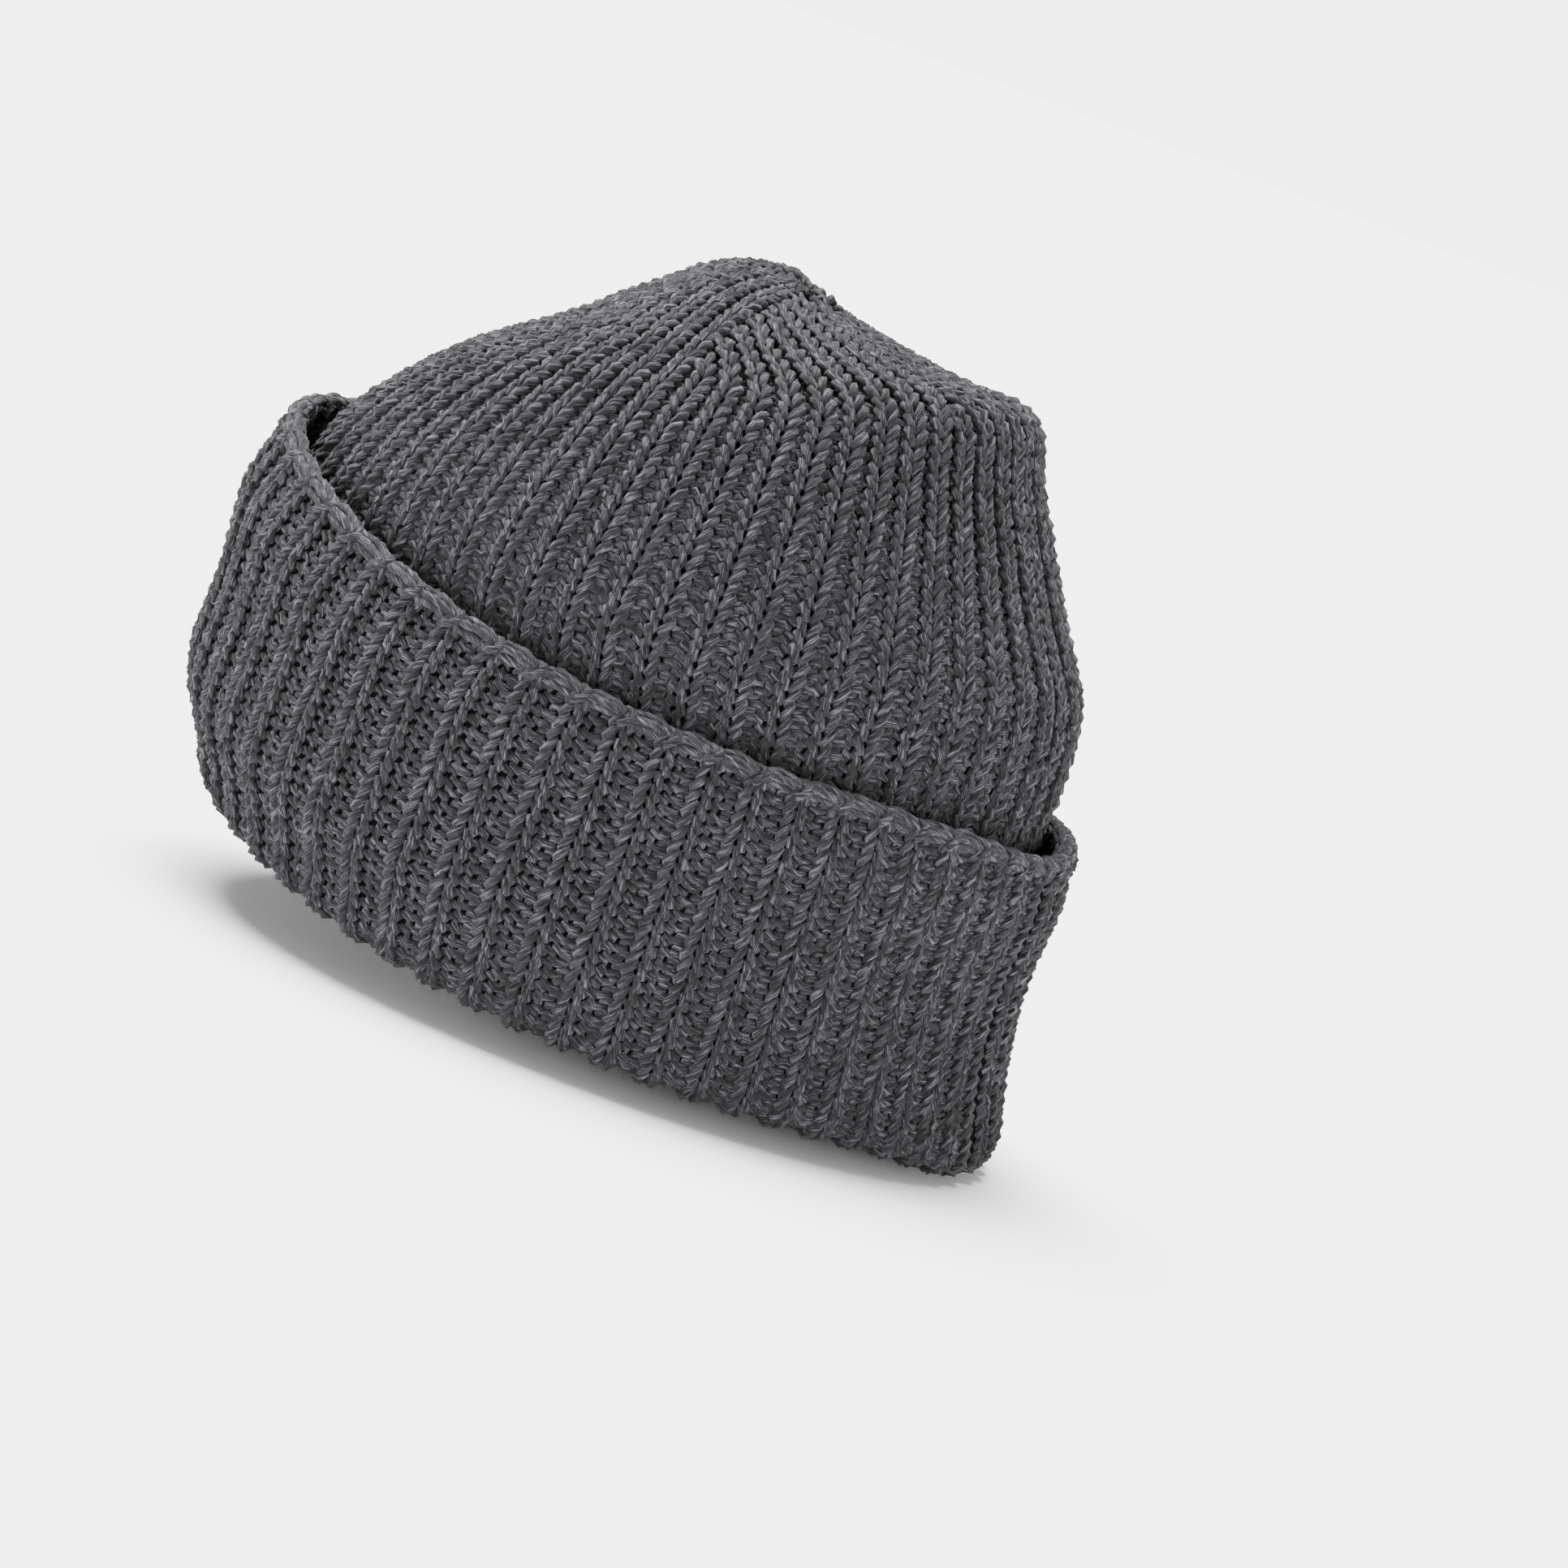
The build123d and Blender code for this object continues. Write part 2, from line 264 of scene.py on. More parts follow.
def soften(grid, passes):
    """Smooth a grid that closes on itself along its first axis."""
    for _ in range(passes):
        grid = grid * 0.5 + (np.roll(grid, 1, 0) + np.roll(grid, -1, 0)) * 0.25
        inner = grid[:, 1:-1] * 0.5 + (grid[:, :-2] + grid[:, 2:]) * 0.25
        grid = np.concatenate([grid[:, :1], inner, grid[:, -1:]], axis=1)
    return grid


class Wall:
    """Outer face of a knitted layer: a grid of points round the head by rows, with its normals."""

    def __init__(self, grid, flip=1.0):
        self.points = grid
        around = np.roll(grid, -1, 0) - np.roll(grid, 1, 0)
        along = np.gradient(grid, axis=1)
        normal = np.cross(around, along) * flip
        length = np.linalg.norm(normal, axis=2, keepdims=True)
        self.normals = normal / np.maximum(length, 1e-12)

    def at(self, turn, row):
        """Points and normals at turns (share of the way round) and rows (grid lines), as arrays."""
        count, rows = self.points.shape[:2]
        u = np.mod(turn, 1.0) * count
        v = np.clip(row, 0, rows - 1.001)
        i, j = np.floor(u).astype(int) % count, np.floor(v).astype(int)
        s, t = (u - np.floor(u))[..., None], (v - j)[..., None]
        k = (i + 1) % count

        def look(array):
            low = array[i, j] * (1 - s) + array[k, j] * s
            high = array[i, j + 1] * (1 - s) + array[k, j + 1] * s
            return low * (1 - t) + high * t

        point, normal = look(self.points), look(self.normals)
        beyond = (np.asarray(row, float) - v)[..., None]
        edge = (self.points[:, -1] - self.points[:, -2])[i]
        start = (self.points[:, 1] - self.points[:, 0])[i]
        point = point + np.where(beyond > 0, edge, start) * beyond
        return point, normal / np.linalg.norm(normal, axis=-1, keepdims=True)


def spread(points, knots, rows):
    """Points along one meridian again, evenly by length; rows is the count for each span between knots."""
    step = np.linalg.norm(np.diff(points, axis=0), axis=1)
    length = np.concatenate([[0], np.cumsum(step)])
    at = [length[k] for k in knots]
    spans = [np.linspace(a, b, n, endpoint=False) for a, b, n in zip(at[:-1], at[1:], rows)]
    targets = np.concatenate(spans + [[at[-1]]])
    return np.stack([np.interp(targets, length, points[:, c]) for c in range(3)], axis=1)


def body_meridian(tree, turn):
    """Outer face of the body and the crown along one meridian from the fold lip to the apex.

    The second result is the number of the first point on a crown gore.
    """
    out = plan_direction(turn)
    low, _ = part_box("body_tube")
    apex_low, apex_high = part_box("crown_closing_stitch")
    apex = (apex_low + apex_high) / 2
    places, owners = [], []
    lean = apex.y * 1.45
    for z in np.arange(low.z + 0.2 * MM, DOME_LEVEL, 1.2 * MM):
        axis = Vector((0, lean * z / DOME_LEVEL, z))
        place, owner = tree.hit(axis + out * RAY_START, -out, RAY_START)
        if place is not None and owner == "body_tube":
            places.append(np.array(place))
            owners.append(owner)
    for angle in np.radians(np.arange(0, 90.1, 1.0)):
        centre = Vector((0, lean + (apex.y - lean) * angle / (math.pi / 2), DOME_LEVEL))
        ray = out * math.cos(angle) + Vector((0, 0, math.sin(angle)))
        place, owner = tree.hit(centre + ray * RAY_START, -ray, RAY_START)
        if place is not None:
            places.append(np.array(place))
            owners.append(owner)
    start = next(i for i, owner in enumerate(owners) if owner != "body_tube")
    return np.array(places), start


def body_wall():
    """The body and crown as a wall, with the number of courses below the darts and above them."""
    knit = bpy.context.scene.beanie_knit
    tree = Tree(["body_tube"] + ["crown_gore_" + g for g in GORES])
    lines = [body_meridian(tree, (i + LINE_OFFSET) / ROUND) for i in range(ROUND)]
    lengths = []
    for points, start in lines:
        step = np.linalg.norm(np.diff(points, axis=0), axis=1)
        lengths.append((step[:start].sum(), step[start:].sum()))
    mean = np.mean(lengths, axis=0)
    lower = int(round(mean[0] / knit.course))
    upper = int(round(mean[1] / knit.course))
    counts = (lower * ROWS, upper * ROWS)
    grid = np.array([spread(points, [0, start, len(points) - 1], counts) for points, start in lines])
    return Wall(shift_round(soften(grid, 6))), lower, upper


def shift_round(grid):
    """Move grid lines back round the head, so that line 0 lies at the wearer's left."""
    return grid * (1 - LINE_OFFSET) + np.roll(grid, 1, 0) * LINE_OFFSET


def cuff_wall():
    """The cuff as a wall, from the free edge down the outside and round the fold to its inner lip."""
    knit = bpy.context.scene.beanie_knit
    tree = Tree(["cuff_turn_up"])
    lines = []
    for i in range(ROUND):
        out = plan_direction((i + LINE_OFFSET) / ROUND)
        wall = []
        for z in np.arange(0.0, 0.125, 0.8 * MM):
            place, _ = tree.hit(out * RAY_START + Vector((0, 0, z)), -out, RAY_START)
            if place is not None and place.dot(out) > 0.06:
                wall.append(np.array(place))
        wall = np.array(wall)
        bottom = wall[0][2] - 0.3 * MM
        centre_z = bottom + FOLD_RADIUS
        above = wall[wall[:, 2] >= centre_z]
        centre = Vector(above[0]) - out * FOLD_RADIUS
        centre.z = centre_z
        turn_points = []
        for angle in np.radians(np.arange(12, 181, 12)):
            ray = out * math.cos(angle) + Vector((0, 0, -math.sin(angle)))
            place, _ = tree.hit(centre + ray * 0.02, -ray, 0.02)
            turn_points.append(np.array(centre + ray * FOLD_RADIUS if place is None else place))
        points = np.concatenate([above[::-1], np.array(turn_points)])
        lines.append((points, len(above) - 1))
    counts = ((knit.cuff_courses - FOLD_COURSES) * ROWS, FOLD_COURSES * ROWS)
    grid = np.array([spread(points, [0, knot, len(points) - 1], counts) for points, knot in lines])
    return Wall(shift_round(soften(grid, 5)), flip=-1.0), knit.cuff_courses


# ---------------------------------------------------------------- yarn

def tube_mesh(name, strands, normals, radius, sides, plies=0.11, seed=1):
    """Closed tubes round strands of points; each strand is an array of points with its surface normals.

    Every second vertex of a ring stands out, and the rings turn along the strand, which gives twisted plies.
    """
    verts, quads, caps, uvs, cap_uvs = [], [], [], [], []
    start = 0
    random = np.random.RandomState(seed)
    corner = 2 * math.pi * np.arange(sides) / sides
    ridge = 1 + plies * np.cos(math.pi * np.arange(sides))
    for points, normal in zip(strands, normals):
        tangent = np.gradient(points, axis=0)
        tangent /= np.linalg.norm(tangent, axis=1, keepdims=True)
        side = np.cross(tangent, normal)
        side /= np.maximum(np.linalg.norm(side, axis=1, keepdims=True), 1e-9)
        up = np.cross(side, tangent)
        length = np.concatenate([[0], np.cumsum(np.linalg.norm(np.diff(points, axis=0), axis=1))])
        turn = corner[None, :] + 2 * math.pi * length[:, None] / PLY_TURN + random.uniform(0, 6)
        swell = 1 + 0.06 * np.sin(length / (2.3 * MM) + random.uniform(0, 6)) * np.sin(length / (5.9 * MM))
        reach = radius * swell[:, None] * ridge[None, :]
        ring = points[:, None] + reach[..., None] * (np.cos(turn)[..., None] * up[:, None]
                                                     + np.sin(turn)[..., None] * side[:, None])
        count = len(points)
        verts.append(ring.reshape(-1, 3))
        i, k = np.meshgrid(np.arange(count - 1), np.arange(sides), indexing="ij")
        nxt = (k + 1) % sides
        a = start + i * sides + k
        b = start + i * sides + nxt
        c = start + (i + 1) * sides + nxt
        d = start + (i + 1) * sides + k
        quads.append(np.stack([a, d, c, b], axis=-1).reshape(-1, 4))
        rim = 2 * math.pi * radius / MM
        along = length / MM + random.uniform(0, 500)
        u0, u1 = along[:-1][i], along[1:][i]
        v0, v1 = k / sides * rim, (k + 1) / sides * rim
        uvs.append(np.stack([np.stack([u0, v0], -1), np.stack([u1, v0], -1),
                             np.stack([u1, v1], -1), np.stack([u0, v1], -1)], axis=2).reshape(-1, 4, 2))
        caps.append(start + np.arange(sides))
        caps.append(start + (count - 1) * sides + np.arange(sides)[::-1])
        cap_uvs += [np.full((sides, 2), along[0]), np.full((sides, 2), along[-1])]
        start += count * sides
    verts = np.concatenate(verts)
    quads = np.concatenate(quads)
    caps = np.array(caps)
    uv = np.concatenate([np.concatenate(uvs).reshape(-1, 2), np.concatenate(cap_uvs).reshape(-1, 2)])
    loops = np.concatenate([quads.ravel(), caps.ravel()])
    starts = np.concatenate([np.arange(len(quads)) * 4, len(quads) * 4 + np.arange(len(caps)) * sides])
    mesh = bpy.data.meshes.new(name)
    mesh.vertices.add(len(verts))
    mesh.vertices.foreach_set("co", verts.astype(np.float32).ravel())
    mesh.loops.add(len(loops))
    mesh.loops.foreach_set("vertex_index", loops.astype(np.int32))
    mesh.polygons.add(len(starts))
    mesh.polygons.foreach_set("loop_start", starts.astype(np.int32))
    mesh.update(calc_edges=True)
    layer = mesh.uv_layers.new(name="yarn")
    layer.data.foreach_set("uv", uv.astype(np.float32).ravel())
    mesh.polygons.foreach_set("use_smooth", np.ones(len(starts), bool))
    mesh.validate()
    piece = bpy.data.objects.new(name, mesh)
    bpy.context.scene.collection.objects.link(piece)
    return piece


class Ribbing:
    """One course of one-by-one rib after another, over a wall."""

    def __init__(self, wall, seed, shift=0.5, groove=0.0):
        self.wall = wall
        self.shift = shift          # place of the raised ribs past the whole numbers, in ribs
        self.groove = groove        # extra depth in mm of the groove along the centre back seam
        self.random = np.random.RandomState(seed)
        self.slip = {}

    def jitter(self, course):
        if course not in self.slip:
            self.slip[course] = self.random.normal(0, 1, (WALES + 4, 3))
        return self.slip[course]

    def strand(self, course, first, last, place_x, pitch, knit, relief):
        """Points of the yarn in one course between two wales.

        place_x turns ribs into turns of the wall; relief is the depth in mm of the raised and of the
        sunk stitches below the wall's face.
        """
        count = int(round((last - first) * knit.samples)) + 1
        wale = np.linspace(first, last, count)
        number = np.round(wale)
        local = wale - number
        side = np.clip(1.7 * np.cos(math.pi * wale), -1, 1)     # 1 on a raised wale, -1 on a sunk one
        share = np.clip(knit.rib_width / pitch, 0.5, 0.80)
        width = np.where(number % 2 == 0, share, 1 - share)
        centre = number / 2
        jitter = self.jitter(course)[number.astype(int) % WALES]
        calm = np.cos(math.pi * local) ** 2
        x = centre + width * (local + 0.25 * np.sin(4 * math.pi * local))
        x = x + self.shift + calm * jitter[:, 0] * 0.018
        rise = knit.loop_height / 2 * np.cos(2 * math.pi * local) + calm * jitter[:, 1] * 0.07
        up, down = relief
        base = (up + down) / 2 + (up - down) / 2 * side
        depth = base - side * np.cos(4 * math.pi * local) + calm * jitter[:, 2] * 0.10
        row = (course + 0.5 + rise) * ROWS
        beside = (np.mod(x, RIBS) - SEAM_RIB) / 0.38
        depth = depth - self.groove * np.exp(-beside * beside)
        turn = place_x(x, row)
        point, normal = self.wall.at(turn, row)
        return point + normal * (depth * MM)[:, None], normal


def own(piece, body, slot, *nodes):
    """The piece rides on a body and stands for these frame nodes, which are hidden; slot is not used."""
    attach(piece, body)
    if nodes:
        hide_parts(*nodes)
    return piece


def paint(piece, material):
    piece.data.materials.clear()
    piece.data.materials.append(material)


def shared(name, make):
    """A material by name, made the first time that it is asked for."""
    return bpy.data.materials.get(name) or make()


def yarn_paint(piece):
    paint(piece, shared("melange_wool_yarn", wool_yarn))


STATE = {}


def body():
    """The body wall, read once."""
    if "body" not in STATE:
        STATE["body"] = body_wall()
    return STATE["body"]


def cuff():
    """The cuff wall, read once."""
    if "cuff" not in STATE:
        STATE["cuff"] = cuff_wall()
    return STATE["cuff"]


def ring_length(wall, row, start=0.0, end=1.0, count=120):
    """Length of a grid row between two turns."""
    turns = np.linspace(start, end, count)
    points, _ = wall.at(turns, np.full(count, float(row)))
    return np.linalg.norm(np.diff(points, axis=0), axis=1).sum()


def ease(low, high, value):
    """A smooth step from 0 at low to 1 at high."""
    t = np.clip((value - low) / (high - low), 0, 1)
    return t * t * (3 - 2 * t)


def body_relief(pitch, hidden):
    """Depths of the raised and the sunk stitches: the narrower the rib, the deeper the groove beside it."""
    groove = -2.7 - 1.1 * float(1 - ease(6.5, 10.0, pitch / MM))
    return (-1.5 - 0.4 * hidden, groove - 0.1 * hidden)


# ---------------------------------------------------------------- pieces

class BEANIE_OT_body(bpy.types.Operator):
    """Knit the body layer in six sectors, from the lip of the fold to the darts"""
    bl_idname = "beanie.body"
    bl_label = "Knit the body"

    def execute(self, context):
        knit = context.scene.beanie_knit
        wall, lower, _ = body()
        ribbing = Ribbing(wall, seed=3, groove=0.9)
        for sector, gore in enumerate(GORES):
            strands, normals = [], []
            for course in range(lower):
                pitch = ring_length(wall, (course + 0.5) * ROWS) / RIBS
                hidden = 1 - float(ease(0.36, 0.46, course / lower))
                points, normal = ribbing.strand(
                    course, 2 * GORE_RIBS * sector - 1, 2 * GORE_RIBS * (sector + 1) - 1,
                    lambda x, row: x / RIBS, pitch, knit, relief=body_relief(pitch, hidden))
                strands.append(points)
                normals.append(normal)
            piece = tube_mesh(f"body_rib_{gore}", strands, normals, knit.yarn / 2, knit.sides)
            yarn_paint(piece)
            own(piece, "crown_body", "body_rib", "body_tube")
        return {"FINISHED"}


class BEANIE_OT_crown(bpy.types.Operator):
    """Knit the six gores, whose ribs run on beside one dart and end one by one at the other"""
    bl_idname = "beanie.crown"
    bl_label = "Knit the crown"

    def execute(self, context):
        knit = context.scene.beanie_knit
        wall, lower, upper = body()
        ribbing = Ribbing(wall, seed=5)
        dart_row, top_row = lower * ROWS, (lower + upper) * ROWS
        rows = np.arange(dart_row - 2 * ROWS, top_row + 1)
        for sector, gore in enumerate(GORES):
            start, end = sector / len(GORES), (sector + 1) / len(GORES)
            widths = np.array([ring_length(wall, min(r, top_row - 0.01), start, end, 30) for r in rows])
            first = ring_length(wall, dart_row, start, end, 30) / GORE_RIBS
            share = np.clip((rows - dart_row) / (upper * ROWS), 0, 1)
            pitches = np.where(rows < dart_row, widths / GORE_RIBS, first * (1 - 0.10 * share))
            counts = np.minimum(widths / pitches, GORE_RIBS)

            def place(x, row, counts=counts, end=end, sector=sector):
                n = np.maximum(np.interp(row, rows, counts), 0.05)
                from_end = GORE_RIBS * (sector + 1) - x
                return end - from_end / n / len(GORES)

            strands, normals = [], []
            for course in range(lower, lower + upper):
                count = float(np.interp((course + 0.5) * ROWS, rows, counts))
                if count < 0.8:
                    break
                pitch = float(np.interp((course + 0.5) * ROWS, rows, pitches))
                last = 2 * GORE_RIBS * (sector + 1) - 1
                points, normal = ribbing.strand(
                    course, last - 2 * count, last, place, pitch, knit, relief=body_relief(pitch, 0.0))
                strands.append(points)
                normals.append(normal)
            piece = tube_mesh(f"crown_rib_{gore}", strands, normals, knit.yarn / 2, knit.sides)
            yarn_paint(piece)
            own(piece, "crown_body", "body_rib", f"crown_gore_{gore}")
        return {"FINISHED"}


class BEANIE_OT_cuff(bpy.types.Operator):
    """Knit the turned-up cuff in three sectors, from its free edge round the fold to its inner lip"""
    bl_idname = "beanie.cuff"
    bl_label = "Knit the cuff"

    def execute(self, context):
        knit = context.scene.beanie_knit
        wall, courses = cuff()
        ribbing = Ribbing(wall, seed=7, shift=0.0, groove=2.0)
        wales = WALES // len(CUFF_SECTORS)
        for sector, name in enumerate(CUFF_SECTORS):
            first = int(2 * SEAM_RIB) + wales * sector
            strands, normals = [], []
            for course in range(courses):
                pitch = ring_length(wall, (course + 0.5) * ROWS) / RIBS
                points, normal = ribbing.strand(
                    course, first, first + wales, lambda x, row: x / RIBS, pitch, knit,
                    relief=(-1.5, -2.9))
                strands.append(points)
                normals.append(normal)
            piece = tube_mesh(f"cuff_rib_{name}", strands, normals, knit.yarn / 2, knit.sides)
            yarn_paint(piece)
            own(piece, "cuff", "cuff_rib", "cuff_turn_up")
        return {"FINISHED"}


def strands_piece(name, lines, radius, seed):
    """Tubes along lines of points, each line given with one direction that its rings start from."""
    normals = [np.tile(np.array(direction, float), (len(points), 1)) for points, direction in lines]
    return tube_mesh(name, [points for points, _ in lines], normals, radius, 6, 0.13, seed=seed)


class BEANIE_OT_edge(bpy.types.Operator):
    """Work the cast-on edge: strands that arch from rib to rib, held by a knot on each raised rib"""
    bl_idname = "beanie.edge"
    bl_label = "Work the cast-on edge"

    def execute(self, context):
        knit = context.scene.beanie_knit
        wall, _ = cuff()
        random = np.random.RandomState(21)
        steps = RIBS * 14
        ribs = np.linspace(0, RIBS, steps + 1) + SEAM_RIB
        arch = np.abs(np.sin(math.pi * ribs)) ** 0.8
        strands, normals = [], []
        # Rows count downwards from the edge of the wall, and depths inwards from its face.
        courses = ((1.7, -1.5, 0.7, 0.5), (0.6, -1.2, 1.1, 0.7), (-0.3, -1.9, 1.5, 0.3),
                   (-0.2, -2.9, 1.5, 0.0), (0.6, -3.5, 1.0, -0.1))
        for row, depth, lift, push in courses:
            wave = np.interp(ribs, np.linspace(ribs[0], ribs[-1], WALES), random.normal(0, 0.16, WALES))
            point, normal = wall.at(ribs / RIBS, row - lift * arch + wave)
            strands.append(point + normal * ((depth + push * arch) * MM)[:, None])
            normals.append(normal)
        for rib in np.arange(math.ceil(ribs[0]), ribs[-1]):
            swing = np.linspace(-0.35, math.pi + 0.2, 13)
            shift = 0.16 * np.sin(swing * 2) + random.normal(0, 0.03)
            row = 1.9 - 3.3 * np.sin(np.clip(swing, 0, math.pi)) - 2.4 * np.minimum(swing, 0)
            depth = -2.1 + 2.3 * np.cos(swing)
            point, normal = wall.at((rib + shift) / RIBS, row)
            strands.append(point + normal * (depth * MM)[:, None])
            normals.append(np.tile(np.array([0.0, 0.0, 1.0]), (len(point), 1)) + normal * 0.01)
        piece = tube_mesh("cast_on_strands", strands, normals, knit.yarn / 2, knit.sides, seed=9)
        yarn_paint(piece)
        own(piece, "cuff", "cuff_rib", "cast_on_edge")
        return {"FINISHED"}


def centre_line(name, key, count):
    """Middle line of a long narrow frame node; key gives the place of a point along it."""
    points = np.array([v.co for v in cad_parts[name].data.vertices])
    place = key(points)
    edges = np.linspace(place.min(), place.max(), count + 1)
    middle = []
    for low, high in zip(edges[:-1], edges[1:]):
        within = points[(place >= low) & (place <= high)]
        if len(within) > 3:
            middle.append((within.min(axis=0) + within.max(axis=0)) / 2)
    line = np.array(middle)
    for _ in range(3):
        line[1:-1] = line[1:-1] * 0.5 + (line[:-2] + line[2:]) * 0.25
    step = np.concatenate([[0], np.cumsum(np.linalg.norm(np.diff(line, axis=0), axis=1))])
    fine = np.arange(0, step[-1], SEAM_STEP * MM)
    return np.stack([np.interp(fine, step, line[:, c]) for c in range(3)], axis=1)


def linked_seam(name, line, inwards, width, seed):
    """Two yarns that cross each other from side to side along a line, as in a linked seam."""
    tangent = np.gradient(line, axis=0)
    tangent /= np.linalg.norm(tangent, axis=1, keepdims=True)
    across = np.cross(tangent, inwards)
    across /= np.linalg.norm(across, axis=1, keepdims=True)
    inwards = np.cross(across, tangent)
    length = np.arange(len(line)) * SEAM_STEP
    strands = []
    for phase in (0.0, math.pi):
        sway = np.sin(2 * math.pi * length / SEAM_STITCH + phase)
        bob = np.cos(4 * math.pi * length / SEAM_STITCH + phase)
        strands.append(line + across * (sway * width * 0.30)[:, None]
                       + inwards * (bob * 0.28 * MM)[:, None])
    return tube_mesh(name, strands, [inwards, inwards], 0.62 * MM, 6, seed=seed)


class BEANIE_OT_seams(bpy.types.Operator):
    """Link the back seams and the six darts on the inside, and draw the crown together"""
    bl_idname = "beanie.seams"
    bl_label = "Link the seams"

    def execute(self, context):
        low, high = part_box("crown_closing_stitch")
        apex = np.array((low + high) / 2)

        def height(points):
            return points[:, 2]

        def from_apex(points):
            return np.linalg.norm(points - apex, axis=1)

        seams = [("cuff_back_seam", "cuff", height), ("body_back_seam", "crown_body", height)]
        seams += [(n, "crown_body", from_apex) for n in sorted(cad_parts) if n.startswith("dart_seam_")]
        for number, (name, rider, key) in enumerate(seams):
            line = centre_line(name, key, 16)
            heart = np.array([0.0, apex[1] * 0.4, 0.07])
            piece = linked_seam("yarn_" + name, line, heart - line, 3.0 * MM, seed=30 + number)
            yarn_paint(piece)
            own(piece, rider, "seam_yarn", name)
        self.close_crown(low, high)
        return {"FINISHED"}

    def close_crown(self, low, high):
        """A yarn run twice round the last loops and crossed over the point of the crown."""
        middle = (low + high) / 2
        tilt = Matrix.Rotation(math.radians(-25.0), 3, "X")
        lines = []
        turn = np.linspace(0, 2 * math.pi * 2.6, 80)
        reach = (4.5 - 0.24 * turn) * MM
        coil = np.stack([np.cos(turn) * reach, np.sin(turn) * reach, (0.06 * turn - 0.5) * MM], axis=1)
        lines.append(coil)
        for angle in np.radians((15, 75, 135)):
            t = np.linspace(-1, 1, 17)
            bar = [t * 3.0 * math.cos(angle), t * 3.0 * math.sin(angle), 1.15 - 1.5 * t ** 4]
            lines.append(np.stack(bar, axis=1) * MM)
        placed = [line @ np.array(tilt).T + np.array(middle) for line in lines]
        up = np.array(tilt @ Vector((0, 0, 1)))
        piece = strands_piece("crown_drawstring", [(line, up + 0.01) for line in placed], 0.8 * MM, seed=40)
        yarn_paint(piece)
        own(piece, "crown_body", "seam_yarn", "crown_closing_stitch")


def tape():
    """Satin label tape: close warp threads across fine weft, with a soft sheen."""
    colour = linear(bpy.context.scene.beanie_colour.label)
    material = blank_material("blank_satin_tape")
    uv = node(material, "ShaderNodeUVMap", {"uv_map": "tape"}).outputs["UV"]
    warp = node(material, "ShaderNodeTexWave", {"bands_direction": "X"}, {"Scale": 0.9, "Distortion": 0.4},
                {"Vector": uv})
    weft = node(material, "ShaderNodeTexWave", {"bands_direction": "Y"}, {"Scale": 0.6, "Distortion": 0.6},
                {"Vector": uv})
    weave = node(material, "ShaderNodeMath", {"operation": "MULTIPLY_ADD"}, {1: 0.5},
                 {0: weft.outputs["Fac"], 2: warp.outputs["Fac"]})
    tone = ramp(material, weave.outputs[0], [(0.0, darker(colour, 0.8)), (0.8, colour)])
    bump = node(material, "ShaderNodeBump", inputs={"Strength": 0.5, "Distance": 0.1 * MM},
                links={"Height": weave.outputs[0]})
    shader = node(material, "ShaderNodeBsdfPrincipled", inputs={"Roughness": 0.45, "Sheen Weight": 0.2},
                  links={"Base Color": tone, "Normal": bump.outputs[0]})
    return finish_material(material, shader)


def sewing_thread():
    """Matt two-ply thread that holds the label."""
    colour = linear(bpy.context.scene.beanie_colour.thread)
    material = blank_material("matt_sewing_thread")
    uv = node(material, "ShaderNodeUVMap", {"uv_map": "yarn"}).outputs["UV"]
    twist = node(material, "ShaderNodeTexWave", {"bands_direction": "DIAGONAL"}, {"Scale": 1.2},
                 {"Vector": uv})
    tone = ramp(material, twist.outputs["Fac"], [(0.0, darker(colour, 0.6)), (0.7, colour)])
    shader = node(material, "ShaderNodeBsdfPrincipled", inputs={"Roughness": 0.7}, links={"Base Color": tone})
    return finish_material(material, shader)


